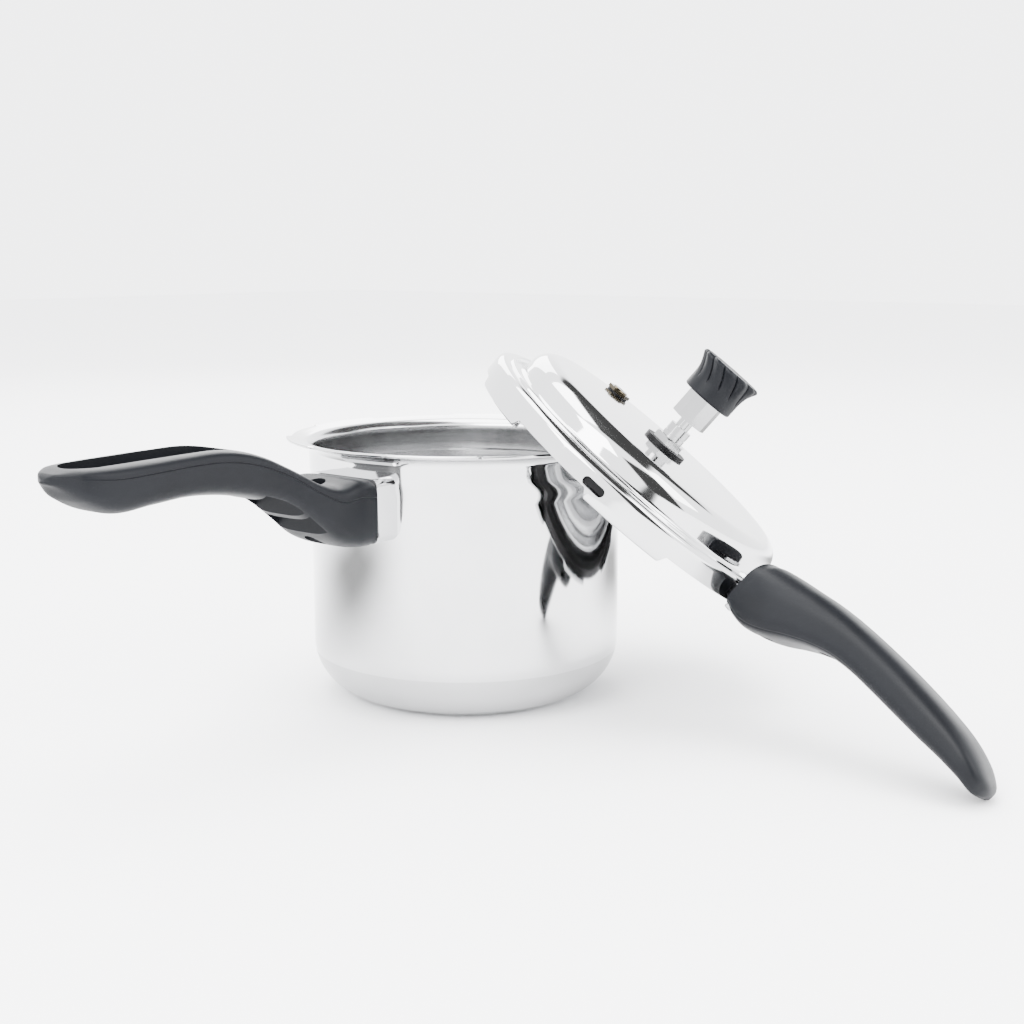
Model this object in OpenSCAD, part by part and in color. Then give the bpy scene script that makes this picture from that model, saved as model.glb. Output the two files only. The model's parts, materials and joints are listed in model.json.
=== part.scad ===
// Stovetop pressure cooker with a bayonet outer lid, lid off and leaning on the rim.
// Z is up. The origin is the centre of the pot's flat base, and the pot handle points along -X.
// Every lid piece is drawn in the lid's own frame: z = 0 is the skirt's lower edge, the lid
// handle points along +X. lid_place() then sets that frame leaning on the pot.

/* [Pot] */
// Outer radius of the pot's straight wall
pot_r = 86; // [80:0.5:92]
// Height of the pot from its base to the top of the bayonet lugs
pot_h = 145.2; // [125:0.1:160]
// Thickness of the stainless sheet of the pot
pot_wall = 1.2; // [0.8:0.1:1.6]
// Radius of the rounding between wall and base
base_round = 31; // [25:1:34]
// Height of the pot's steel floor above the table, with the heat disc below it
floor_z = 4.6; // [4:0.1:6]

/* [Bayonet] */
// Number of lugs round the rim and round the lid
lug_count = 6; // [5:1:6]
// Angle that one lug takes up
lug_angle = 29; // [24:1:29]
// Radius of the rim between the lugs
rim_r = 96.5; // [92:0.5:97]
// Radius of the tips of the pot's lugs
lug_r = 99.2; // [97:0.1:100]
// Direction of the first pot lug from +X
pot_lug_phase = 30; // [0:0.5:60]
// Direction of the first lid lug from the lid handle
lid_lug_phase = 11.5; // [0:0.5:60]

/* [Lid] */
// Outer radius of the lid's skirt
skirt_r = 102; // [101:0.1:105]
// Height of the skirt
skirt_h = 17; // [16:0.5:20]
// Thickness of the stainless sheet of the lid
lid_wall = 1.2; // [0.8:0.1:1.5]
// Outer radius of the raised dome
dome_r = 86.4; // [84:0.1:90]
// Height of the dome's shoulder
dome_h = 33.9; // [30:0.1:38]
// Radius of the dome's shoulder rounding
dome_round = 11.1; // [8:0.1:14]
// Rise of the crown above the shoulder
crown_rise = 0.8; // [0.4:0.1:2]
// How far the lower edge is cut back between the lugs
edge_step = 4.6; // [3:0.1:5]
// Direction of the gasket release slot from the lid handle
slot_dir = -62; // [-90:1:-40]

/* [Regulator] */
// Height of the underside of the weight above the lid's lower edge
weight_z = 54.1; // [50:0.1:60]
// Distance across the flats of the weight
weight_flats = 20; // [18:0.5:22]
// Radius of the knob at its lower edge
knob_r = 15.2; // [14:0.1:17]
// Radius of the knob at its crests
knob_crest_r = 20; // [17:0.1:21]
// Height of the knob
knob_h = 21.4; // [18:0.1:26]
// Distance of the safety plug from the lid's axis
plug_reach = 66; // [50:1:67]
// Direction of the safety plug from the lid handle
plug_dir = 164; // [120:1:180]

/* [Handles] */
// Half width of the pot handle where it meets the bracket
pot_handle_half = 24.5; // [22:0.5:27]
// Reach of the bracket's outer face from the pot's axis
bracket_reach = 97; // [95:0.5:100]
// Distance of the pot handle's screw from the pot's axis
pot_screw_u = 117.5; // [115:0.5:120]

/* [Resting pose] */
// Direction of the lid's centre from the pot's axis, and of its slope
lean_dir = -58.1; // [-70:0.1:-40]
// Distance of the lid's centre from the pot's axis
lean_reach = 88.3; // [85:0.1:100]
// Height of the lid's centre
lean_z = 112.1; // [105:0.1:120]
// Slope of the lid
slope = 40.35; // [35:0.05:45]
// Turn of the lid handle from the line of slope
handle_turn = -39.6; // [-50:0.5:-30]

/* [Hidden] */
$fn = 180;
fine = 0.02;               // overlap that makes a cut run clean through a face
pitch = 360 / lug_count;
crown_z = dome_h + crown_rise;
ceiling_z = crown_z - lid_wall;
knob_z = weight_z + 15.2;
knob_lobes = 12;
plug_z = dome_h + crown_rise * (1 - pow(plug_reach / (dome_r - dome_round), 2));
steel = "#c9ccd0";
brushed = "#b4b7bb";
phenolic = "#3d4047";
rubber = "#26272a";
brass = "#b89b58";
aluminium = "#a9abad";

// Points of an arc about [cx, cy] from angle a to angle b in n steps.
function arc(cx, cy, r, a, b, n = 12) =
    [for (i = [0 : n]) let (t = a + (b - a) * i / n) [cx + r * cos(t), cy + r * sin(t)]];

// Value at x on the smooth curve through column c of the stations, by Hermite pieces.
function slope_at(s, i, c) = i == 0 || i == len(s) - 1
    ? 0
    : (s[i + 1][c] - s[i - 1][c]) / (s[i + 1][0] - s[i - 1][0]);
function piece(s, x, i = 0) = i >= len(s) - 2 || x <= s[i + 1][0] ? i : piece(s, x, i + 1);
function curve(s, x, c) =
    let (i = piece(s, x), w = s[i + 1][0] - s[i][0], t = (x - s[i][0]) / w,
         m0 = slope_at(s, i, c) * w, m1 = slope_at(s, i + 1, c) * w)
    (2 * pow(t, 3) - 3 * t * t + 1) * s[i][c] + (pow(t, 3) - 2 * t * t + t) * m0
    + (3 * t * t - 2 * pow(t, 3)) * s[i + 1][c] + (pow(t, 3) - t * t) * m1;

// Handles are lofts along X. A station is [x, underside z, top z, half width], and each
// section is a rounded rectangle whose corners get rounder with a smaller squareness.
function section(s, x, squareness, sides) =
    let (low = curve(s, x, 1), high = curve(s, x, 2), half = curve(s, x, 3))
    [for (k = [0 : sides - 1]) let (a = 360 * (k + 0.5) / sides, c = cos(a), v = sin(a))
        [x, half * sign(c) * pow(abs(c), 2 / squareness),
         (low + high) / 2 + (high - low) / 2 * sign(v) * pow(abs(v), 2 / squareness)]];

module loft(s, squareness, steps = 44, sides = 28) {
    first = s[0][0];
    last = s[len(s) - 1][0];
    rings = [for (i = [0 : steps])
        section(s, first + (last - first) * sin(90 * i / steps), squareness, sides)];
    points = [for (ring = rings, p = ring) p];
    walls = [for (i = [0 : steps - 1], k = [0 : sides - 1]) let (n = (k + 1) % sides)
        [i * sides + k, (i + 1) * sides + k, (i + 1) * sides + n, i * sides + n]];
    near_cap = [[for (k = [0 : sides - 1]) k]];
    far_cap = [[for (k = [0 : sides - 1]) steps * sides + sides - 1 - k]];
    polyhedron(points, concat(near_cap, walls, far_cap));
}

pot_handle_line = [
    [97.2, 96.5, 132, 24.6], [108, 97.8, 133.2, 24.6], [119, 102, 130.8, 23.6],
    [130, 110.4, 134, 21.6], [141, 118.6, 139.8, 20.2], [152, 125.2, 145.2, 20],
    [163, 128.9, 150.2, 20], [175, 132.1, 154, 19.6], [190, 134.7, 156.2, 18.8],
    [208, 136, 156.2, 18.9], [228, 135, 155.8, 19.6], [248, 134, 155.4, 19],
    [262, 140.4, 155, 15.6], [269, 146.6, 153.9, 9.4], [273.4, 149.8, 153, 3.5]];

lid_handle_line = [
    [104.5, 3.6, 34, 21], [111, 1.8, 36.4, 22], [120, 1.8, 38.5, 22.4],
    [130, 6, 40.4, 21.8], [141, 12.8, 42.5, 20.7], [152, 18.6, 43.9, 19.6],
    [164, 23, 44.8, 18.9], [176, 24.9, 45.3, 18.5], [190, 25.5, 45.6, 18.3],
    [206, 25.8, 45.4, 18.2], [222, 26.1, 44.6, 17.8], [236, 26.7, 42.9, 17.1],
    [248, 26.6, 39.4, 15.9], [256, 25.7, 35.4, 12.2], [260.4, 27, 32.6, 5]];

module toward_handle() {
    rotate([0, 0, 180]) children();
}

module lid_place() {
    rotate([0, 0, lean_dir]) translate([lean_reach, 0, lean_z])
        rotate([0, slope, 0]) rotate([0, 0, handle_turn]) children();
}

// Disc of radius r with a lug out to tip every pitch, the lugs' outer corners rounded.
module lug_disc(r, tip, phase, h) {
    corner = 3;
    inset = asin(corner / (tip - corner));
    cylinder(r = r, h = h);
    for (i = [0 : lug_count - 1]) rotate([0, 0, phase + i * pitch]) {
        rotate([0, 0, inset - lug_angle / 2]) rotate_extrude(angle = lug_angle - 2 * inset)
            translate([r - 6, 0]) square([tip - r + 6, h]);
        rotate([0, 0, -lug_angle / 2]) rotate_extrude(angle = lug_angle)
            translate([r - 6, 0]) square([tip - corner - r + 6, h]);
        for (side = [-1, 1]) rotate([0, 0, side * (lug_angle / 2 - inset)])
            translate([tip - corner, 0, 0]) cylinder(r = corner + 0.04, h = h, $fn = 48);
    }
}

module hex(flats, h) {
    cylinder(r = flats / 2 / cos(30), h = h, $fn = 6);
}

module hex_nut(flats, h, bore) {
    difference() {
        hex(flats, h);
        translate([0, 0, -fine]) cylinder(r = bore, h = h + 2 * fine, $fn = 64);
    }
}

module washer(outer, inner, h) {
    difference() {
        cylinder(r = outer, h = h, $fn = 72);
        translate([0, 0, -fine]) cylinder(r = inner, h = h + 2 * fine, $fn = 72);
    }
}

// ---- pot ----

module pot_section() {
    turn_r = pot_r - base_round;
    foot = asin((base_round - floor_z) / base_round);
    inner_round = base_round - pot_wall;
    inner_foot = asin((base_round - floor_z - pot_wall) / inner_round);
    neck_r = pot_r + 0.9;
    polygon(concat(
        [[0, floor_z]],
        arc(turn_r, base_round, base_round, -foot, 0),
        [[pot_r, pot_h - 28], [neck_r, pot_h - 16], [neck_r, pot_h - 8.6]],
        arc(neck_r + 4.7, pot_h - 8.2, 4.7, 175, 107, 6),
        [[lug_r + 2, pot_h - 1.35], [lug_r + 2, pot_h + 0.25], [rim_r, pot_h - 0.6]],
        arc(neck_r + 4.9, pot_h - 8.6, 6.9, 105, 165, 8),
        [[neck_r - pot_wall, pot_h - 10], [neck_r - pot_wall, pot_h - 16], [pot_r - pot_wall, pot_h - 28]],
        arc(turn_r, base_round, inner_round, 0, -inner_foot),
        [[0, floor_z + pot_wall]]));
}

module pot_body() {
    color(steel) intersection() {
        rotate_extrude() pot_section();
        lug_disc(rim_r, lug_r, pot_lug_phase, pot_h + 5);
    }
}

module base_form(sheet, top) {
    r = base_round - sheet;
    rotate_extrude() polygon(concat(
        [[0, sheet]],
        arc(pot_r - base_round, base_round, r, -90, -90 + acos((base_round - top) / r), 8),
        [[0, top]]));
}

module heat_disc() {
    color(aluminium) base_form(0.85, floor_z - 0.1);
}

module base_plate() {
    color(brushed) difference() {
        base_form(0, floor_z - 0.1);
        base_form(0.8, floor_z + 0.5);
    }
}

module bracket_block(half, low, high, back, front, round_r) {
    translate([back, -half, low + round_r]) cube([front - back, 2 * half, high - low - 2 * round_r]);
    for (z = [low + round_r, high - round_r])
        translate([back, -half + round_r, z]) rotate([0, 90, 0])
            cylinder(r = round_r, h = front - back, $fn = 48);
    for (z = [low + round_r, high - round_r])
        translate([back, half - round_r, z]) rotate([0, 90, 0])
            cylinder(r = round_r, h = front - back, $fn = 48);
    translate([back, -half + round_r, low]) cube([front - back, 2 * (half - round_r), high - low]);
}

module pot_bracket() {
    sheet = 1.5;
    low = 99;
    high = 132.2;
    half = pot_handle_half - 0.5;
    color(steel) toward_handle() difference() {
        union() {
            difference() {
                bracket_block(half, low, high, 78, bracket_reach, 4);
                bracket_block(half - sheet, low + sheet, high - sheet, 76, bracket_reach - sheet, 2.6);
            }
            translate([bracket_reach - 2, -12, 113]) cube([30, 24, 3]);
        }
        translate([0, 0, 90]) cylinder(r = pot_r + 0.03, h = pot_h - 117);
        translate([0, 0, pot_h - 28]) cylinder(r1 = pot_r + 0.03, r2 = pot_r + 0.93, h = 12);
        translate([0, 0, pot_h - 16.1]) cylinder(r = pot_r + 0.93, h = 12);
        translate([pot_screw_u, 0, 110]) cylinder(r = 2.75, h = 8, $fn = 64);
    }
}

module pot_bracket_nut() {
    color(steel) toward_handle() translate([pot_screw_u, 0, 108.9]) hex_nut(8, 4, 2.5);
}

module pot_handle_screw() {
    color(steel) toward_handle() translate([pot_screw_u, 0, 0]) difference() {
        union() {
            translate([0, 0, 107.5]) cylinder(r = 2.45, h = 18.3, $fn = 64);
            translate([0, 0, 125.3]) cylinder(r1 = 4.6, r2 = 3.6, h = 2.6, $fn = 64);
        }
        translate([-4, -0.5, 126.9]) cube([8, 1, 2]);
    }
}

module pot_handle_washer() {
    color(steel) toward_handle() translate([pot_screw_u, 0, 124.05]) washer(5.2, 2.6, 1.2);
}

module pot_handle() {
    rib_x = 139;
    color(phenolic) toward_handle() difference() {
        loft(pot_handle_line, 4.2);
        // open trough along the grip
        translate([0, 0, 146.5]) linear_extrude(20)
            hull() {
                translate([188, 0]) circle(r = 12.5, $fn = 48);
                translate([252, 0]) circle(r = 11.5, $fn = 48);
            }
        // hollow underside of the neck, on both sides of a cross rib
        for (span = [[126, rib_x - 1.5], [rib_x + 1.5, 165]])
            intersection() {
                rotate([90, 0, 0]) translate([0, 0, -17.5]) linear_extrude(35) polygon([
                    [126, 90], [126, 121], [146, 133], [160, 140.5], [165, 142], [165, 90]]);
                translate([span[0], -17.5, 85]) cube([span[1] - span[0], 35, 70]);
            }
        // pocket for the bracket's tongue
        translate([90, -12.2, 112.9]) cube([35.2, 24.4, 3.2]);
        // screw bore, head recess and nut pocket
        translate([pot_screw_u, 0, 90]) cylinder(r = 5.2, h = 23.2, $fn = 64);
        translate([pot_screw_u, 0, 110]) cylinder(r = 2.75, h = 20, $fn = 64);
        translate([pot_screw_u, 0, 124]) cylinder(r = 6, h = 20, $fn = 64);
    }
}

// ---- lid ----

function lid_face(t) = concat(
    arc(skirt_r - 4, skirt_h - 4, 4 - t, 0, 90, 8),
    [[95.6, skirt_h - t]],
    arc(94, skirt_h + 0.2 - t, 1.3, 20, 160, 6),
    [[92.4, skirt_h - 0.4 - t]],
    arc(dome_r + 3.4, skirt_h + 2.6, 3 + t, 250, 185, 6),
    arc(dome_r - dome_round, dome_h - dome_round, dome_round - t, 8, 90, 12),
    [for (i = [1 : 6]) let (r = (dome_r - dome_round) * (1 - i / 6))
        [r, dome_h - t + crown_rise * (1 - pow(r / (dome_r - dome_round), 2))]]);

module lid_shell() {
    lip = 1.5;
    lip_in = rim_r + 0.6;
    outer = lid_face(0);
    inner = lid_face(lid_wall);
    back = [for (i = [len(inner) - 1 : -1 : 0]) inner[i]];
    color(steel) lid_place() difference() {
        rotate_extrude() polygon(concat(
            [[lip_in, 0], [skirt_r - 1, 0], [skirt_r, 1]], outer, back,
            [[skirt_r - lid_wall, lip + 0.6], [skirt_r - lid_wall - 0.6, lip], [lip_in, lip]]));
        // the lower edge is cut back between the lugs
        for (i = [0 : lug_count - 1])
            rotate([0, 0, lid_lug_phase + pitch / 2 + i * pitch - (pitch - lug_angle) / 2])
                translate([0, 0, -1]) rotate_extrude(angle = pitch - lug_angle)
                    translate([lip_in - 3, 0]) square([20, edge_step + 1]);
        // gasket release slot
        rotate([0, 0, slot_dir]) {
            for (a = [-2.3, 2.3]) rotate([0, 0, a]) translate([95, 0, 8]) rotate([0, 90, 0])
                cylinder(r = 2.5, h = 14, $fn = 48);
            rotate([0, 0, -2.3]) translate([0, 0, 5.52]) rotate_extrude(angle = 4.6)
                translate([98, 0]) square([8, 4.96]);
        }
        translate([0, 0, ceiling_z - 5]) cylinder(r = 5.1, h = 12, $fn = 64);
        rotate([0, 0, plug_dir]) translate([plug_reach, 0, ceiling_z - 5])
            cylinder(r = 4.1, h = 12, $fn = 64);
    }
}

module gasket() {
    // Rubber ring in the skirt, with a lip turned down on to the pot's rim.
    top = skirt_h - lid_wall - 0.5;
    outer = skirt_r - lid_wall - 0.5;
    color(rubber) lid_place() rotate_extrude() polygon([
        [outer - 13.5, top - 2.5], [outer - 12, top], [outer - 1.5, top], [outer, top - 1.5],
        [outer, 6.6], [outer - 1.2, 5.4], [outer - 9, 5.4], [outer - 13.5, 8.6]]);
}

module lid_bracket() {
    plate = 2;
    half = 13;
    plate_z = skirt_h + 1.65;
    color(steel) lid_place() difference() {
        union() {
            translate([96.4, -half, plate_z]) cube([33.4, 2 * half, plate]);
            translate([skirt_r + 0.9, -half, 7]) cube([2.2, 2 * half, plate_z - 6.9]);
        }
        translate([0, 0, 5]) cylinder(r = skirt_r + 0.05, h = skirt_h - 5.5);
        for (x = [112, 124]) translate([x, 0, plate_z - 1]) cylinder(r = 2.6, h = 5, $fn = 48);
    }
}

module lid_handle() {
    color(phenolic) lid_place() difference() {
        loft(lid_handle_line, 3);
        // hollow underside of the grip
        hull() {
            translate([164, 0, 17]) cylinder(r = 11.5, h = 18, $fn = 32);
            translate([240, 0, 19]) cylinder(r = 9, h = 16.5, $fn = 32);
        }
        // pocket for the bracket
        translate([102, -13.3, 4.5]) cube([3.5, 26.6, 17]);
        translate([100, -13.3, skirt_h + 1.35]) cube([30.4, 26.6, 2.6]);
        translate([107, -5.2, skirt_h + 3.9]) cube([22.4, 10.4, 4.2]);
        for (x = [112, 124]) {
            translate([x, 0, -4]) cylinder(r = 2.6, h = 30, $fn = 48);
            translate([x, 0, -4]) cylinder(r = 5.3, h = 13, $fn = 48);
        }
    }
}

module lid_handle_screws() {
    color(steel) lid_place() for (x = [112, 124]) translate([x, 0, 0]) difference() {
        union() {
            translate([0, 0, 5.1]) cylinder(r1 = 3.6, r2 = 4.6, h = 2.8, $fn = 48);
            translate([0, 0, 7.5]) cylinder(r = 2.45, h = 17.5, $fn = 48);
        }
        translate([-4, -0.5, 4]) cube([8, 1, 2.2]);
    }
}

module lid_handle_washers() {
    color(steel) lid_place() for (x = [112, 124]) translate([x, 0, 7.92]) washer(5, 2.55, 1.05);
}

module lid_handle_nuts() {
    color(steel) lid_place() for (x = [112, 124])
        translate([x, 0, skirt_h + 3.68]) hex_nut(8, 4, 2.5);
}

// ---- steam vent and weight ----

module vent_pipe() {
    top = weight_z + 10.2;
    color(steel) lid_place() difference() {
        union() {
            translate([0, 0, ceiling_z - 7.5]) cylinder(r = 5, h = 15.5, $fn = 64);
            translate([0, 0, crown_z + 6.2]) cylinder(r = 6.6, h = 2.8, $fn = 72);
            translate([0, 0, crown_z + 8.9]) cylinder(r = 6, h = 0.8, $fn = 72);
            translate([0, 0, crown_z + 9.6]) cylinder(r = 6.6, h = 4.6, $fn = 72);
            translate([0, 0, crown_z + 14.1]) cylinder(r = 4, h = top - crown_z - 15, $fn = 64);
            translate([0, 0, top - 0.9]) cylinder(r1 = 4, r2 = 3.2, h = 0.9, $fn = 64);
        }
        translate([0, 0, ceiling_z - 8]) cylinder(r = 1.4, h = top, $fn = 48);
    }
}

module vent_nut() {
    color(steel) lid_place() translate([0, 0, crown_z + 1.85]) intersection() {
        hex_nut(17.5, 4.3, 5.02);
        rotate_extrude() polygon([[4, 0], [10.4, 0], [10.4, 3.3], [8.8, 4.3], [4, 4.3]]);
    }
}

module vent_seal() {
    color(rubber) lid_place() translate([0, 0, crown_z + 0.02]) washer(13, 5.02, 1.82);
}

module vent_lock_nut() {
    color(steel) lid_place() translate([0, 0, ceiling_z - 5.1]) hex_nut(14, 5, 5.02);
}

module weight_body() {
    flats = 8;
    color(steel) lid_place() difference() {
        union() {
            translate([0, 0, weight_z])
                cylinder(r = weight_flats / 2 / cos(180 / flats), h = 15.2, $fn = flats);
            translate([0, 0, weight_z + 15]) cylinder(r = 8.5, h = 13.5, $fn = 72);
        }
        translate([0, 0, weight_z - 1]) cylinder(r = 4.35, h = 12, $fn = 64);
        translate([0, 0, weight_z + 10.8]) cylinder(r = 3, h = 3.5, $fn = 64);
        translate([0, 0, weight_z + 20]) cylinder(r = 1.6, h = 10, $fn = 48);
    }
}

module weight_needle() {
    color(steel) lid_place() translate([0, 0, weight_z]) union() {
        translate([0, 0, 11]) cylinder(r = 2.97, h = 3.2, $fn = 64);
        translate([0, 0, 8.6]) cylinder(r1 = 0.5, r2 = 1.1, h = 1.4, $fn = 48);
        translate([0, 0, 9.9]) cylinder(r = 1.1, h = 1.3, $fn = 48);
    }
}

function knob_wave(a, z) = 1 + 0.045 * pow(z / knob_h, 2) * cos(knob_lobes * (a + 26 * pow(z / knob_h, 2)));
function knob_side(z) =
    let (t = z / knob_h)
    knob_r + (knob_crest_r - 0.6 - knob_r) * pow(max(0, (t - 0.35) / 0.65), 1.9)
    - 2.4 * pow(max(0, (t - 0.9) / 0.1), 2) - 0.8 * pow(max(0, 1 - t / 0.05), 2);

module knob_form() {
    rings = 20;
    sides = 80;
    points = concat(
        [for (i = [0 : rings], k = [0 : sides - 1])
            let (z = knob_h * i / rings, a = 360 * k / sides, r = knob_side(z) * knob_wave(a, z))
            [r * cos(a), r * sin(a), z]]);
    walls = [for (i = [0 : rings - 1], k = [0 : sides - 1]) let (n = (k + 1) % sides)
        [i * sides + k, (i + 1) * sides + k, (i + 1) * sides + n, i * sides + n]];
    near_cap = [[for (k = [0 : sides - 1]) k]];
    far_cap = [[for (k = [0 : sides - 1]) rings * sides + sides - 1 - k]];
    polyhedron(points, concat(near_cap, walls, far_cap));
}

module weight_knob() {
    color(phenolic) lid_place() translate([0, 0, knob_z]) difference() {
        translate([0, 0, 0.05]) knob_form();
        translate([0, 0, -1]) cylinder(r = 8.52, h = 14.4, $fn = 72);
        translate([0, 0, 10]) cylinder(r = 1.7, h = 20, $fn = 48);
        translate([0, 0, knob_h - 4.2]) cylinder(r = 3.6, h = 10, $fn = 64);
    }
}

module knob_screw() {
    color(steel) lid_place() translate([0, 0, knob_z]) difference() {
        union() {
            translate([0, 0, 6]) cylinder(r = 1.58, h = 13.4, $fn = 48);
            translate([0, 0, knob_h - 4.1]) cylinder(r1 = 3.3, r2 = 2.6, h = 1.9, $fn = 64);
        }
        translate([-3, -0.4, knob_h - 3]) cube([6, 0.8, 2]);
    }
}

// ---- safety plug ----

module at_plug() {
    lid_place() rotate([0, 0, plug_dir]) translate([plug_reach, 0, plug_z]) children();
}

module safety_plug() {
    color(brass) at_plug() difference() {
        union() {
            translate([0, 0, 0.95]) hex(13, 1.9);
            translate([0, 0, 2.8]) cylinder(r1 = 5.2, r2 = 4.6, h = 0.9, $fn = 64);
            translate([0, 0, -8]) cylinder(r = 4, h = 9, $fn = 64);
        }
        translate([0, 0, -9]) cylinder(r = 1.9, h = 15, $fn = 48);
    }
}

module fusible_core() {
    color("#8d9096") at_plug() translate([0, 0, -7.9]) cylinder(r = 1.88, h = 11.4, $fn = 48);
}

module plug_seal() {
    color(rubber) at_plug() translate([0, 0, 0.12]) washer(6.8, 4.02, 0.8);
}

module plug_nut() {
    color(brass) at_plug() translate([0, 0, -6.4]) hex_nut(12, 4.6, 4.02);
}

pot_body();
heat_disc();
base_plate();
pot_bracket();
pot_bracket_nut();
pot_handle();
pot_handle_screw();
pot_handle_washer();
gasket();
lid_shell();
lid_bracket();
lid_handle();
lid_handle_screws();
lid_handle_washers();
lid_handle_nuts();
vent_pipe();
vent_nut();
vent_seal();
vent_lock_nut();
weight_body();
weight_knob();
weight_needle();
knob_screw();
safety_plug();
fusible_core();
plug_seal();
plug_nut();
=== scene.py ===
import json
import math
import bpy
import numpy as np
from mathutils import Matrix, Vector


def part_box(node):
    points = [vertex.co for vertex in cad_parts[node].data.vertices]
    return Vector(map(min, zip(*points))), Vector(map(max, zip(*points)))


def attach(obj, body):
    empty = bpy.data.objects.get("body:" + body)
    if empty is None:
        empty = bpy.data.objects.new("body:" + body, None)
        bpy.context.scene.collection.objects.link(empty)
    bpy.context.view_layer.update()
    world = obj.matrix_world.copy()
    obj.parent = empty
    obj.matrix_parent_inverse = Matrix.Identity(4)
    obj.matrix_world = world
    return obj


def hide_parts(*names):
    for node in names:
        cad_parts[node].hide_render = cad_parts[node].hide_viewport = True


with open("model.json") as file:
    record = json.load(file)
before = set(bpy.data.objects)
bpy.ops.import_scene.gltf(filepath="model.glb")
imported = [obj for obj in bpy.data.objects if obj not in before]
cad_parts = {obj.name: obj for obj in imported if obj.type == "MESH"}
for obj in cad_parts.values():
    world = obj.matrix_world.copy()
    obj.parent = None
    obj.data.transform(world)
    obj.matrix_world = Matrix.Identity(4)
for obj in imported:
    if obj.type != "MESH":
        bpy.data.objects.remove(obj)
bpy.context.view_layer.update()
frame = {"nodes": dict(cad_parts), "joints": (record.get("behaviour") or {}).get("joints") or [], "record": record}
nodes = frame["nodes"]
joints = {joint["name"]: joint for joint in frame["joints"]}
MM = 0.001

# ---- the lid's own frame, from the record's joints and the handle's place ----

lid_centre = Vector(joints["lid_turn"]["pos_m"])
lid_axis = Vector(joints["lid_turn"]["axis"]).normalized()
handle_points = np.zeros(len(nodes["lid_handle"].data.vertices) * 3, np.float32)
nodes["lid_handle"].data.vertices.foreach_get("co", handle_points)
handle_mean = handle_points.reshape(-1, 3).mean(axis=0)
handle_mid = Vector([float(v) for v in handle_mean]) - lid_centre
handle_out = (handle_mid - lid_axis * handle_mid.dot(lid_axis)).normalized()
handle_side = lid_axis.cross(handle_out)
LID = Matrix((
    (handle_out.x, handle_side.x, lid_axis.x, lid_centre.x),
    (handle_out.y, handle_side.y, lid_axis.y, lid_centre.y),
    (handle_out.z, handle_side.z, lid_axis.z, lid_centre.z),
    (0, 0, 0, 1)))
POT = Matrix.Identity(4)
POT_HANDLE = Matrix.Rotation(math.pi, 4, "Z")

pot_low, pot_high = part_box("pot_body")
pot_floor = pot_low[2] / MM
pot_top = pot_high[2] / MM

# ---- small geometry helpers, in millimetres ----

def arc(cx, cy, r, a, b, n=16):
    """n + 1 points of an arc about (cx, cy), from angle a to angle b in degrees."""
    turns = [math.radians(a + (b - a) * i / n) for i in range(n + 1)]
    return [(cx + r * math.cos(t), cy + r * math.sin(t)) for t in turns]


def smooth(x):
    """An S-shaped step from 0 to 1."""
    x = np.clip(x, 0.0, 1.0)
    return x * x * (3 - 2 * x)


def mesh_piece(name, verts, faces, place, body, materials, replaces, sharp, index=None):
    """One shown piece from points in millimetres, with one finish index per face when index is given."""
    mesh = bpy.data.meshes.new(name)
    mesh.from_pydata([tuple(v) for v in np.asarray(verts) * MM], [], faces)
    mesh.transform(place)
    for material in materials:
        mesh.materials.append(material)
    if index is not None:
        mesh.polygons.foreach_set("material_index", index)
    mesh.polygons.foreach_set("use_smooth", [True] * len(mesh.polygons))
    mesh.set_sharp_from_angle(angle=math.radians(sharp))
    mesh.update()
    obj = bpy.data.objects.new(name, mesh)
    bpy.context.scene.collection.objects.link(obj)
    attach(obj, body)
    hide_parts(*replaces)
    return obj


def ring_faces(rings, sides, closed=False):
    """Quads between neighbouring rings of points, each ring closed on itself."""
    faces = []
    last = rings if closed else rings - 1
    for i in range(last):
        j = (i + 1) % rings
        for k in range(sides):
            n = (k + 1) % sides
            faces.append((i * sides + k, i * sides + n, j * sides + n, j * sides + k))
    return faces


def dense(points, step):
    """The same outline with its long straight runs cut to pieces of at most step."""
    out = [points[0]]
    for p, q in zip(points, points[1:]):
        n = max(1, int(math.ceil(math.dist(p, q) / step)))
        out += [(p[0] + (q[0] - p[0]) * i / n, p[1] + (q[1] - p[1]) * i / n) for i in range(1, n + 1)]
    return out


def cut(obj, cutters):
    """Takes the cutters' shapes out of obj for good."""
    for cutter in cutters:
        made = obj.modifiers.new("cut", "BOOLEAN")
        made.operation = "DIFFERENCE"
        made.solver = "EXACT"
        made.object = cutter
    bpy.context.view_layer.update()
    graph = bpy.context.evaluated_depsgraph_get()
    mesh = bpy.data.meshes.new_from_object(obj.evaluated_get(graph))
    obj.modifiers.clear()
    obj.data = mesh
    for cutter in cutters:
        bpy.data.objects.remove(cutter)


def prism(outline, low, high, place):
    """A cutter: a flat outline raised from low to high."""
    n = len(outline)
    verts = [(x, y, low) for x, y in outline] + [(x, y, high) for x, y in outline]
    faces = [tuple(range(n - 1, -1, -1)), tuple(range(n, 2 * n))]
    faces += [(k, (k + 1) % n, n + (k + 1) % n, n + k) for k in range(n)]
    mesh = bpy.data.meshes.new("cutter")
    mesh.from_pydata([tuple(c * MM for c in v) for v in verts], [], faces)
    obj = bpy.data.objects.new("cutter", mesh)
    bpy.context.scene.collection.objects.link(obj)
    obj.matrix_world = place
    return obj


def stadium(a, b, ra, rb):
    """The outline round two circles, for slots and hollows."""
    turn = math.degrees(math.atan2(b[1] - a[1], b[0] - a[0]))
    return arc(a[0], a[1], ra, turn + 90, turn + 270, 20) + arc(b[0], b[1], rb, turn - 90, turn + 90, 20)


def box_cut(low, high, place):
    """A cutter: a plain box between two corners."""
    (x0, y0, z0), (x1, y1, z1) = low, high
    return prism([(x0, y0), (x1, y0), (x1, y1), (x0, y1)], z0, z1, place)


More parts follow.
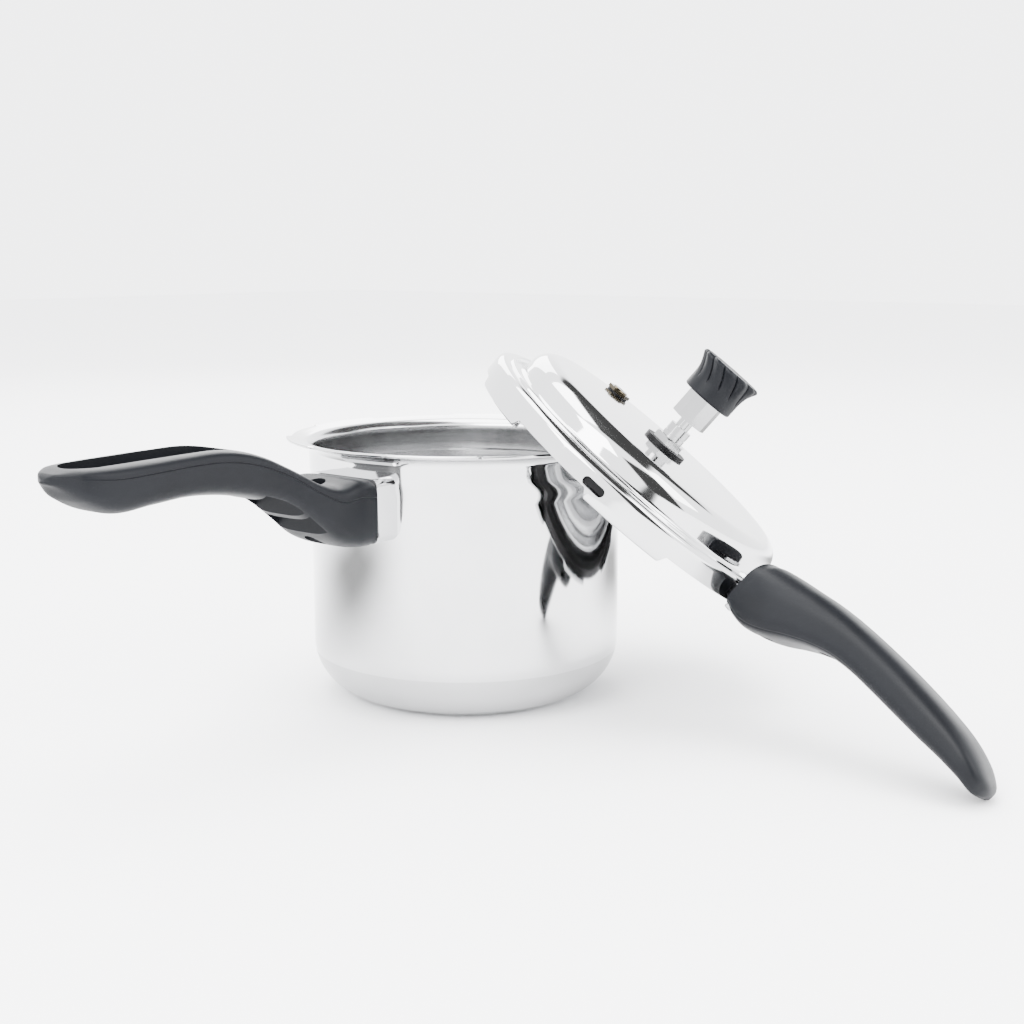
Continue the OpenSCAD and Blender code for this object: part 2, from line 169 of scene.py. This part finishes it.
def bore(x, r, low, high, place):
    """A cutter: a round hole upright at x."""
    return prism(arc(x, 0, r, 0, 354, 59), low, high, place)


def bevelled(node, width):
    """Softens a CAD node's edges without moving the node."""
    made = nodes[node].modifiers.new("edges", "BEVEL")
    made.width = width * MM
    made.segments = 3
    made.limit_method = "ANGLE"
    made.angle_limit = math.radians(35)
    made.harden_normals = False


# ---- materials ----

def new_material(name):
    material = bpy.data.materials.new(name)
    material.use_nodes = True
    tree = material.node_tree
    return material, tree, tree.nodes["Principled BSDF"]


def add(tree, kind, **values):
    made = tree.nodes.new(kind)
    for key, value in values.items():
        if key in made.inputs:
            made.inputs[key].default_value = value
        else:
            setattr(made, key, value)
    return made


def ramp(tree, source, low, high, at=(0.0, 1.0)):
    made = tree.nodes.new("ShaderNodeValToRGB")
    made.color_ramp.elements[0].position = at[0]
    made.color_ramp.elements[1].position = at[1]
    made.color_ramp.elements[0].color = low
    made.color_ramp.elements[1].color = high
    tree.links.new(source, made.inputs["Fac"])
    return made.outputs["Color"]


def grey(v):
    return (v, v, v, 1.0)


def steel(name, shade, rough_low, rough_high, wave, streaks=None, tint=(0.985, 0.99, 1.0)):
    """Stainless sheet: faint waviness, wipe marks in the gloss, and brushing when streaks is set."""
    material, tree, shader = new_material(name)
    place = add(tree, "ShaderNodeTexCoord").outputs["Object"]
    wipe = add(tree, "ShaderNodeTexNoise", Scale=38.0, Detail=5.0, Roughness=0.6)
    tree.links.new(place, wipe.inputs["Vector"])
    tree.links.new(
        ramp(tree, wipe.outputs["Fac"], grey(rough_low), grey(rough_high), (0.35, 0.72)),
        shader.inputs["Roughness"])
    dull = tuple(shade * c * 0.95 for c in tint) + (1.0,)
    bright = tuple(shade * c for c in tint) + (1.0,)
    tree.links.new(ramp(tree, wipe.outputs["Fac"], dull, bright, (0.3, 0.6)), shader.inputs["Base Color"])
    shader.inputs["Metallic"].default_value = 1.0
    swell = add(tree, "ShaderNodeTexNoise", Scale=14.0, Detail=1.0)
    tree.links.new(place, swell.inputs["Vector"])
    bump = add(tree, "ShaderNodeBump", Strength=wave, Distance=0.002)
    tree.links.new(swell.outputs["Fac"], bump.inputs["Height"])
    normal = bump.outputs["Normal"]
    if streaks:
        stretch = add(tree, "ShaderNodeMapping")
        stretch.inputs["Scale"].default_value = streaks["scale"]
        tree.links.new(place, stretch.inputs["Vector"])
        lines = add(tree, "ShaderNodeTexNoise", Scale=1.0, Detail=6.0, Roughness=0.7)
        tree.links.new(stretch.outputs["Vector"], lines.inputs["Vector"])
        fine = add(tree, "ShaderNodeBump", Strength=streaks["strength"], Distance=0.0004)
        tree.links.new(lines.outputs["Fac"], fine.inputs["Height"])
        tree.links.new(normal, fine.inputs["Normal"])
        normal = fine.outputs["Normal"]
    tree.links.new(normal, shader.inputs["Normal"])
    return material


def moulded(name, colour, rough_low, rough_high, grain, grain_scale):
    """Moulded phenolic or rubber: a fine grain with soft gloss changes."""
    material, tree, shader = new_material(name)
    place = add(tree, "ShaderNodeTexCoord").outputs["Object"]
    cloud = add(tree, "ShaderNodeTexNoise", Scale=30.0, Detail=4.0)
    tree.links.new(place, cloud.inputs["Vector"])
    tree.links.new(
        ramp(tree, cloud.outputs["Fac"], grey(rough_low), grey(rough_high), (0.35, 0.7)),
        shader.inputs["Roughness"])
    dark = tuple(c * 0.86 for c in colour) + (1.0,)
    light = tuple(c * 1.12 for c in colour) + (1.0,)
    tree.links.new(ramp(tree, cloud.outputs["Fac"], dark, light, (0.3, 0.7)), shader.inputs["Base Color"])
    pits = add(tree, "ShaderNodeTexNoise", Scale=grain_scale, Detail=3.0, Roughness=0.6)
    tree.links.new(place, pits.inputs["Vector"])
    bump = add(tree, "ShaderNodeBump", Strength=grain, Distance=0.0003)
    tree.links.new(pits.outputs["Fac"], bump.inputs["Height"])
    tree.links.new(bump.outputs["Normal"], shader.inputs["Normal"])
    shader.inputs["IOR"].default_value = 1.20
    return material


mirror = steel("mirror_steel", 0.60, 0.05, 0.09, 0.012)
satin = steel("satin_steel", 0.58, 0.15, 0.21, 0.02, {"scale": (60.0, 60.0, 900.0), "strength": 0.05})
inside = steel("brushed_inside", 0.48, 0.20, 0.27, 0.01, {"scale": (26.0, 26.0, 1500.0), "strength": 0.10})
turned = steel("turned_steel", 0.33, 0.09, 0.15, 0.02, {"scale": (500.0, 500.0, 500.0), "strength": 0.03})
alloy = steel("cast_alloy", 0.20, 0.35, 0.5, 0.08)
phenolic = moulded("phenolic", (0.0046, 0.0051, 0.0064), 0.36, 0.46, 0.20, 1500.0)
rubber = moulded("rubber", (0.003, 0.003, 0.0035), 0.45, 0.6, 0.15, 900.0)
brass = steel("turned_brass", 0.06, 0.18, 0.28, 0.03, None, (1.0, 0.84, 0.56))

FINISH = {
    "polished_steel": mirror, "brushed_steel": satin, "plain_steel": turned, "aluminium": satin,
    "phenolic": phenolic, "rubber": rubber, "brass": brass, "fusible_metal": alloy}
for part in frame["record"]["subparts"]:
    data = nodes[part["node"]].data
    data.materials.clear()
    data.materials.append(FINISH[part["material_slot"]])

# ---- pot ----

LUGS = 6
LUG_PITCH = 360 / LUGS
LUG_HALF = 14.5
LUG_EDGE = 2.2
LUG_DENSE = 2.6
POT_PHASE = 30.0
RIM_R = 96.5
LUG_R = 99.2


def lug_share(angle, phase):
    """1 inside a lug and 0 between lugs, with an S-shaped edge LUG_EDGE degrees across."""
    off = np.abs((angle - phase + LUG_PITCH / 2) % LUG_PITCH - LUG_PITCH / 2)
    return smooth((LUG_HALF - off) / LUG_EDGE + 0.5)


def lug_turns(phase):
    """Angles round the rim, closer together at the ends of the lugs."""
    turns = set(np.round(np.arange(0, 360, 1.0), 3))
    for k in range(LUGS):
        for side in (-1, 1):
            edge = phase + LUG_PITCH * k + side * LUG_HALF
            near = np.arange(edge - LUG_DENSE, edge + LUG_DENSE, 0.12)
            turns |= set(np.round(near % 360.0, 3))
    return np.array(sorted(turns))


def build_pot():
    """The pot's whole skin, from the middle of the base round the rim to the middle of the floor."""
    wall, r, turn_r, rnd = 1.2, 86.0, 55.0, 31.0
    foot = math.degrees(math.asin((rnd - pot_floor) / rnd))
    inner_rnd = rnd - wall
    inner_foot = math.degrees(math.asin((rnd - pot_floor - wall) / inner_rnd))
    neck = r + 0.9
    top = pot_top + 0.11
    swell = [(r + 0.9 * float(smooth(i / 12)), top - 28 + i) for i in range(13)]
    outer = arc(turn_r, rnd, rnd, -foot, 0, 28) + swell
    outer += [(neck, top - 9)] + arc(neck + 4.7, top - 8.2, 4.7, 175, 107, 14)
    edge = arc(98.4, top - 1.0, 0.78, -75, 100, 12)
    inner = arc(neck + 4.9, top - 8.6, 6.9, 104, 160, 18)
    inner += [(neck - wall - 0.1, top - 9), (neck - wall, top - 11)]
    inner += [(x - wall, z) for x, z in swell[::-1]]
    inner += arc(turn_r, rnd, inner_rnd, 0, -inner_foot, 28)
    outline = [(0.01, pot_floor)] + outer + edge + inner + [(0.01, pot_floor + wall)]
    outline = dense(outline, 6.0)
    turns = lug_turns(POT_PHASE)
    share = lug_share(turns, POT_PHASE)
    reach = RIM_R + (LUG_R - RIM_R) * share
    a = np.radians(turns)
    slope, flare_r = 0.19, 90
    verts, kinds = [], []
    for pr, pz in outline:
        if pr > flare_r:
            rr = flare_r + (pr - flare_r) * (reach - flare_r) / (LUG_R - flare_r)
        else:
            rr = np.full(len(turns), pr)
        zz = pz - slope * (pr - rr)
        verts += list(zip(rr * np.cos(a), rr * np.sin(a), zz))
    for p, q in zip(outline, outline[1:]):
        mid_r, mid_z = (p[0] + q[0]) / 2, (p[1] + q[1]) / 2
        flange = mid_r > 88.2 or (mid_r > 85 and mid_z > top - 6)
        within = mid_r < r - 0.6 or (mid_r < neck - 0.5 and mid_z > top - 20)
        hollow = within and mid_z > pot_floor + wall - 0.05
        kinds += [1 if flange else (2 if hollow else 0)] * len(turns)
    faces = ring_faces(len(outline), len(turns))
    count = len(turns)
    last = (len(outline) - 1) * count
    faces += [tuple(range(count - 1, -1, -1)), tuple(range(last, last + count))]
    kinds += [0, 2]
    return mesh_piece("pot_shell", verts, faces, POT, "pot",
                      [mirror, satin, inside], ["pot_body"], 40, kinds)


build_pot()

# ---- lid ----

LID_PHASE = 11.5
SKIRT_R = 102.0
SKIRT_H = 17.0
DOME_R = 86.4
DOME_H = 33.9
DOME_ROUND = 11.1
RISE = 0.8
SHEET = 1.2


def lid_face(t):
    """The lid's outline from the skirt's top to the crown's middle, t below the outer face."""
    flat_r = DOME_R - DOME_ROUND
    points = arc(SKIRT_R - 4, SKIRT_H - 4, 4 - t, 0, 90, 12)
    points += [(95.6, SKIRT_H - t)] + arc(94, SKIRT_H + 0.2 - t, 1.3, 20, 160, 10)
    points += [(92.4, SKIRT_H - 0.4 - t)]
    points += arc(DOME_R + 3.4, SKIRT_H + 2.6, 3 + t, 250, 185, 12)
    points += arc(flat_r, DOME_H - DOME_ROUND, DOME_ROUND - t, 4, 90, 22)
    steps = 9
    for i in range(1, steps + 1):
        r = flat_r * (1 - i / steps)
        points.append((max(r, 0.01), DOME_H - t + RISE * (1 - (r / flat_r) ** 2)))
    return points


def build_lid():
    """The lid's sheet with its inward lugs, as one closed ring of points turned round the axis."""
    lip, lip_in, step_up = 1.5, RIM_R + 0.6, 4.6
    low = [(lip_in, 0.25), (lip_in + 0.25, 0), (SKIRT_R - 1.2, 0), (SKIRT_R - 0.4, 0.4), (SKIRT_R, 1.2)]
    back = [(SKIRT_R - SHEET, 6.0), (SKIRT_R - SHEET, lip + 0.8), (SKIRT_R - SHEET - 0.3, lip + 0.2),
            (SKIRT_R - SHEET - 0.9, lip), (lip_in + 0.25, lip), (lip_in, lip - 0.25)]
    face = dense([(SKIRT_R, 5.4)] + lid_face(0), 5.0)
    hidden = dense(lid_face(SHEET), 5.0)[::-1]
    outline = low + face + hidden + back
    turns = lug_turns(LID_PHASE)
    share = lug_share(turns, LID_PHASE)
    a = np.radians(turns)
    verts = []
    inward = SKIRT_R - SHEET - 0.4
    for pr, pz in outline:
        rr = np.full(len(turns), pr)
        zz = np.full(len(turns), pz)
        if pz < 5.9 and pr > 92:
            lift = step_up * (1 - share)
            zz = pz + lift * (1 - pz / 6.5)
            if pr < inward:
                rr = inward - (inward - pr) * share
        verts += list(zip(rr * np.cos(a), rr * np.sin(a), zz))
    faces = ring_faces(len(outline), len(turns), closed=True)
    kinds = []
    for i in range(len(outline)):
        kinds += [1 if i >= len(low) + len(face) - 1 else 0] * len(turns)
    return mesh_piece("lid_sheet", verts, faces, LID, "lid",
                      [mirror, satin], ["lid_shell"], 40, kinds)


lid = build_lid()
SLOT_TURN = -62
slot_turned = LID @ Matrix.Rotation(math.radians(SLOT_TURN), 4, "Z")
slot_place = slot_turned @ Matrix.Rotation(math.radians(90), 4, "Y")
cut(lid, [prism(stadium((-8, -4.2), (-8, 4.2), 2.5, 2.5), 97, 106, slot_place)])

# ---- handles ----

def hermite(stations, x, column):
    """The smooth curve through a column of the stations."""
    xs = [s[0] for s in stations]
    i = min(max(int(np.searchsorted(xs, x)) - 1, 0), len(xs) - 2)

    def tangent(k):
        if k == 0:
            return 0.0
        if k == len(xs) - 1:
            return (stations[k][column] - stations[k - 1][column]) / (xs[k] - xs[k - 1])
        return (stations[k + 1][column] - stations[k - 1][column]) / (xs[k + 1] - xs[k - 1])

    w = xs[i + 1] - xs[i]
    t = (x - xs[i]) / w
    a, b = stations[i][column], stations[i + 1][column]
    return ((2 * t ** 3 - 3 * t * t + 1) * a + (t ** 3 - 2 * t * t + t) * tangent(i) * w
            + (3 * t * t - 2 * t ** 3) * b + (t ** 3 - t * t) * tangent(i + 1) * w)


# Stations: distance out, underside, top and half width. Rounded solver output.
POT_HANDLE_LINE = [
    (97.2, 96.5, 132, 24.6), (108, 97.8, 133.2, 24.6), (119, 102, 130.8, 23.6),
    (130, 110.4, 134, 21.6), (141, 118.6, 139.8, 20.2), (152, 125.2, 145.2, 20),
    (163, 128.9, 150.2, 20), (175, 132.1, 154, 19.6), (190, 134.7, 156.2, 18.8),
    (208, 136, 156.2, 18.9), (228, 135, 155.8, 19.6), (248, 134, 155.4, 19),
    (262, 140.4, 155, 15.6), (269, 146.6, 153.9, 9.4), (273.4, 149.8, 153, 3.5)]

LID_HANDLE_LINE = [
    (104.5, 3.6, 34, 21), (111, 1.8, 36.4, 22), (120, 1.8, 38.5, 22.4),
    (130, 6, 40.4, 21.8), (141, 12.8, 42.5, 20.7), (152, 18.6, 43.9, 19.6),
    (164, 23, 44.8, 18.9), (176, 24.9, 45.3, 18.5), (190, 25.5, 45.6, 18.3),
    (206, 25.8, 45.4, 18.2), (222, 26.1, 44.6, 17.8), (236, 26.7, 42.9, 17.1),
    (248, 26.6, 39.4, 15.9), (256, 25.7, 35.4, 12.2), (260.4, 27, 32.6, 5)]


def profile(upper, lower, groove):
    """One section of a handle between -1 and 1: squareness above and below, and a fine line round it."""
    line = math.degrees(math.asin(abs(groove) ** ((upper if groove > 0 else lower) / 2)))
    turns = set(np.arange(0, 360, 2.5)) | {90.0, 270.0}
    for centre in ((line, 180 - line) if groove > 0 else (180 + line, 360 - line)):
        turns |= set(np.round(centre + np.arange(-3.2, 3.3, 0.4), 2))
    turns = np.radians(sorted(turns))
    power = np.where(np.sin(turns) >= 0, 2 / upper, 2 / lower)
    across = np.sign(np.cos(turns)) * np.abs(np.cos(turns)) ** power
    up = np.sign(np.sin(turns)) * np.abs(np.sin(turns)) ** power
    across = across * (1 - 0.014 * np.exp(-((up - groove) / 0.02) ** 2))
    return across, up


def handle(name, line, shape, place, body, replaces):
    """A loft of one profile through the stations, closed by a rounded nose."""
    first, last = line[0][0], line[-1][0]
    nose, steps = 2.4, 230
    share = np.sin(np.radians(90 * np.arange(steps + 1) / steps))
    xs = first + (last - nose - first) * (0.7 * np.arange(steps + 1) / steps + 0.3 * share)
    across, up = shape
    verts = []
    for x in xs:
        low, high, half = (hermite(line, x, c) for c in (1, 2, 3))
        y = half * across
        z = (low + high) / 2 + (high - low) / 2 * up
        verts += [(x, y[k], z[k]) for k in range(len(up))]
    sides = len(up)
    # the nose closes in on its own middle
    rim = np.array(verts[-sides:])
    middle = np.array([xs[-1], 0, (rim[:, 2].max() + rim[:, 2].min()) / 2])
    rounds = 9
    start = math.radians(50)
    for i in range(1, rounds + 1):
        turn = start + math.radians(37 * i / rounds)
        ahead = nose * (math.sin(turn) - math.sin(start)) / (1 - math.sin(start))
        ring = middle + (rim - middle) * math.cos(turn) / math.cos(start) + np.array([ahead, 0, 0])
        verts += [tuple(v) for v in ring]
    faces = ring_faces(len(xs) + rounds, sides)
    end = (len(xs) + rounds - 1) * sides
    faces += [tuple(range(sides - 1, -1, -1)), tuple(range(end, end + sides))]
    return mesh_piece(name, verts, faces, place, body, [phenolic], replaces, 40)


pot_grip = handle("pot_grip", POT_HANDLE_LINE, profile(6.0, 3.6, 0.5), POT_HANDLE, "pot", ["pot_handle"])
UPRIGHT = POT_HANDLE @ Matrix.Rotation(math.radians(90), 4, "X")
cut(pot_grip, [
    prism(stadium((188, 0), (252, 0), 12.5, 11.5), 146.5, 170, POT_HANDLE),
    prism([(126, 90), (137.5, 90), (137.5, 127.9), (126, 121)], -17.5, 17.5, UPRIGHT),
    prism([(140.5, 90), (165, 90), (165, 142), (160, 140.5), (146, 133), (140.5, 129.7)],
          -17.5, 17.5, UPRIGHT),
    box_cut((90, -12.2, 112.9), (125.2, 12.2, 116.1), POT_HANDLE),
    bore(117.5, 5.2, 90, 113.2, POT_HANDLE),
    bore(117.5, 2.75, 110, 130, POT_HANDLE),
    bore(117.5, 6, 124, 144, POT_HANDLE)])

lid_grip = handle("lid_grip", LID_HANDLE_LINE, profile(2.8, 5.0, -0.84), LID, "lid", ["lid_handle"])
cut(lid_grip, [
    prism(stadium((164, 0), (240, 0), 11.5, 9), 10, 35, LID),
    box_cut((102, -13.3, 4.5), (105.5, 13.3, 21.5), LID),
    box_cut((100, -13.3, 18.35), (130.4, 13.3, 20.95), LID),
    box_cut((107, -5.2, 20.9), (129.4, 5.2, 25.1), LID)]
    + [bore(x, r, -4, high, LID) for x in (112, 124) for r, high in ((2.6, 26), (5.3, 9))])

# ---- knob and vent ----

knob_zs = [(LID.inverted() @ v.co).z / MM for v in nodes["weight_knob"].data.vertices]
knob_low, knob_high = min(knob_zs), max(knob_zs)
KNOB_H = knob_high - knob_low


def build_knob():
    """The fluted knob, with a dished top."""
    sides, rings, lobes = 432, 80, 12
    a = np.radians(np.arange(sides) * 360.0 / sides)
    verts = []
    for i in range(rings + 1):
        t = i / rings
        r = 15.2 + 3.9 * max(0, (t - 0.35) / 0.65) ** 1.9
        r -= 2.3 * max(0, (t - 0.9) / 0.1) ** 2 + 0.8 * max(0, 1 - t / 0.05) ** 2
        phase = (lobes * (a + math.radians(26 * t * t))) % (2 * math.pi)
        off = np.abs(phase - math.pi)
        groove = np.exp(-(off / 0.3) ** 2) * 1.15 * smooth((t - 0.3) / 0.25)
        rr = r * (1 + 0.04 * t * t * np.cos(phase)) - groove
        verts += list(zip(rr * np.cos(a), rr * np.sin(a), np.full(sides, knob_low + KNOB_H * t)))
    faces = ring_faces(rings + 1, sides)
    top = rings * sides
    inner_levels = [(0.86, 0.0), (0.7, -0.35), (0.5, -0.55), (0.24, -0.6)]
    base_top = np.array(verts[top:top + sides])
    for share, drop in inner_levels:
        verts += [(p[0] * share, p[1] * share, p[2] + drop) for p in base_top]
    faces += [(top + i * sides + k, top + i * sides + (k + 1) % sides,
               top + (i + 1) * sides + (k + 1) % sides, top + (i + 1) * sides + k)
              for i in range(len(inner_levels)) for k in range(sides)]
    end = top + len(inner_levels) * sides
    faces += [tuple(range(sides - 1, -1, -1)), tuple(range(end, end + sides))]
    return mesh_piece("knob_grip", verts, faces, LID, "weight", [phenolic], ["weight_knob"], 50)


build_knob()

for node in ("vent_nut", "vent_lock_nut", "plug_nut", "safety_plug", "weight_body"):
    bevelled(node, 0.35)
bevelled("pot_bracket", 0.6)
bevelled("lid_bracket", 0.4)
for node in ("gasket", "vent_pipe", "pot_handle_screw", "heat_disc", "base_plate"):
    mesh = nodes[node].data
    mesh.polygons.foreach_set("use_smooth", [True] * len(mesh.polygons))
    mesh.set_sharp_from_angle(angle=math.radians(32))

# ---- floor, light and camera ----

def stage_material(name, colour, rough):
    material, _, shader = new_material(name)
    shader.inputs["Base Color"].default_value = colour
    shader.inputs["Roughness"].default_value = rough
    return material


def make_floor():
    mesh = bpy.data.meshes.new("floor")
    mesh.from_pydata([(-6, -6, 0), (6, -6, 0), (6, 6, 0), (-6, 6, 0)], [], [(0, 1, 2, 3)])
    mesh.materials.append(stage_material("floor_paint", (0.92, 0.92, 0.925, 1), 0.8))
    obj = bpy.data.objects.new("floor", mesh)
    bpy.context.scene.collection.objects.link(obj)
    return obj


make_floor()


def softbox(name, place, target, width, height, power):
    """A soft rectangular lamp turned towards target."""
    lamp = bpy.data.lights.new(name, "AREA")
    lamp.shape = "RECTANGLE"
    lamp.size, lamp.size_y = width, height
    lamp.energy = power
    obj = bpy.data.objects.new(name, lamp)
    bpy.context.scene.collection.objects.link(obj)
    obj.location = place
    obj.rotation_euler = (Vector(target) - Vector(place)).to_track_quat("-Z", "Y").to_euler()


softbox("key", (-1.5, -0.2, 1.5), (0, 0, 0.1), 1.2, 1.2, 60)
softbox("fill", (0.2, -1.7, 1.1), (0, 0, 0.1), 1.0, 1.0, 25)
softbox("top", (0.1, 0.1, 2.0), (0, 0, 0), 1.6, 1.6, 80)
softbox("rim", (1.2, 1.3, 1.2), (0, 0, 0.1), 0.9, 1.2, 25)


def card(name, centre, target, width, height, glow, soft):
    """A glowing grey card that paints a reflection: it only shows in polished steel, fading out towards its edges.
    """
    material, tree, shader = new_material(name + "_paint")
    tree.nodes.remove(shader)
    place = add(tree, "ShaderNodeTexCoord").outputs["Generated"]
    split = add(tree, "ShaderNodeSeparateXYZ")
    tree.links.new(place, split.inputs["Vector"])
    fades = []
    for axis in ("X", "Y"):
        away = add(tree, "ShaderNodeMath", operation="SUBTRACT")
        away.inputs[1].default_value = 0.5
        tree.links.new(split.outputs[axis], away.inputs[0])
        size = add(tree, "ShaderNodeMath", operation="ABSOLUTE")
        tree.links.new(away.outputs[0], size.inputs[0])
        fade = add(tree, "ShaderNodeMapRange", interpolation_type="SMOOTHSTEP")
        fade.inputs["From Min"].default_value = 0.5
        fade.inputs["From Max"].default_value = 0.5 - soft / 2
        tree.links.new(size.outputs[0], fade.inputs["Value"])
        fades.append(fade.outputs["Result"])
    both = add(tree, "ShaderNodeMath", operation="MULTIPLY")
    tree.links.new(fades[0], both.inputs[0])
    tree.links.new(fades[1], both.inputs[1])
    glowing = add(tree, "ShaderNodeEmission", Strength=glow)
    clear = add(tree, "ShaderNodeBsdfTransparent")
    mixed = add(tree, "ShaderNodeMixShader")
    tree.links.new(both.outputs[0], mixed.inputs["Fac"])
    tree.links.new(clear.outputs[0], mixed.inputs[1])
    tree.links.new(glowing.outputs[0], mixed.inputs[2])
    tree.links.new(mixed.outputs[0], tree.nodes["Material Output"].inputs["Surface"])
    mesh = bpy.data.meshes.new(name)
    w, h = width / 2, height / 2
    mesh.from_pydata([(-w, -h, 0), (w, -h, 0), (w, h, 0), (-w, h, 0)], [], [(0, 1, 2, 3)])
    mesh.materials.append(material)
    obj = bpy.data.objects.new(name, mesh)
    bpy.context.scene.collection.objects.link(obj)
    obj.location = centre
    obj.rotation_euler = (Vector(target) - Vector(centre)).to_track_quat("Z", "Y").to_euler()
    obj.visible_camera = False
    obj.visible_diffuse = False
    obj.visible_shadow = False


CAMERA_TURN = math.radians(-51.5)
CAMERA_TILT = math.radians(90 - 9.96)
AIM = (0.06, -0.08, 0.14)


def seen(forward, right, up):
    """A point given from the pot's middle in the camera's own level directions, in metres."""
    s, c = -math.sin(CAMERA_TURN), math.cos(CAMERA_TURN)
    return (s * forward + c * right, c * forward - s * right, up)


# Glowing cards seen only in glossy rays, painting reflections: grey ones lying on the floor at left and right,
# dark ones above, far and near.
card("card_left", seen(-0.08, -0.42, 0.003), seen(-0.08, -0.42, 1), 0.85, 0.66, 0.9, 0.9)
card("card_right", seen(0.24, 0.30, 0.003), seen(0.24, 0.30, 1), 0.48, 0.46, 1.1, 0.9)
card("card_far", seen(0.50, 0.60, 0.84), AIM, 1.0, 0.9, 0.12, 0.2)
card("card_above", seen(-0.07, 0.46, 1.03), AIM, 1.1, 0.8, 0.12, 0.2)
card("card_near", seen(-0.98, 0.40, 0.40), AIM, 0.8, 0.9, 0.12, 0.2)

world = bpy.data.worlds.new("studio")
bpy.context.scene.world = world
world.use_nodes = True
world.node_tree.nodes["Background"].inputs["Color"].default_value = (0.98, 0.985, 1.0, 1)
world.node_tree.nodes["Background"].inputs["Strength"].default_value = 4.8

lens = bpy.data.cameras.new("camera")
lens.lens = 52.73
lens.sensor_width = 36.0
camera = bpy.data.objects.new("camera", lens)
bpy.context.scene.collection.objects.link(camera)
camera.location = (-0.6360, -0.5392, 0.2463)
camera.rotation_euler = (CAMERA_TILT, 0, CAMERA_TURN)
bpy.context.scene.camera = camera
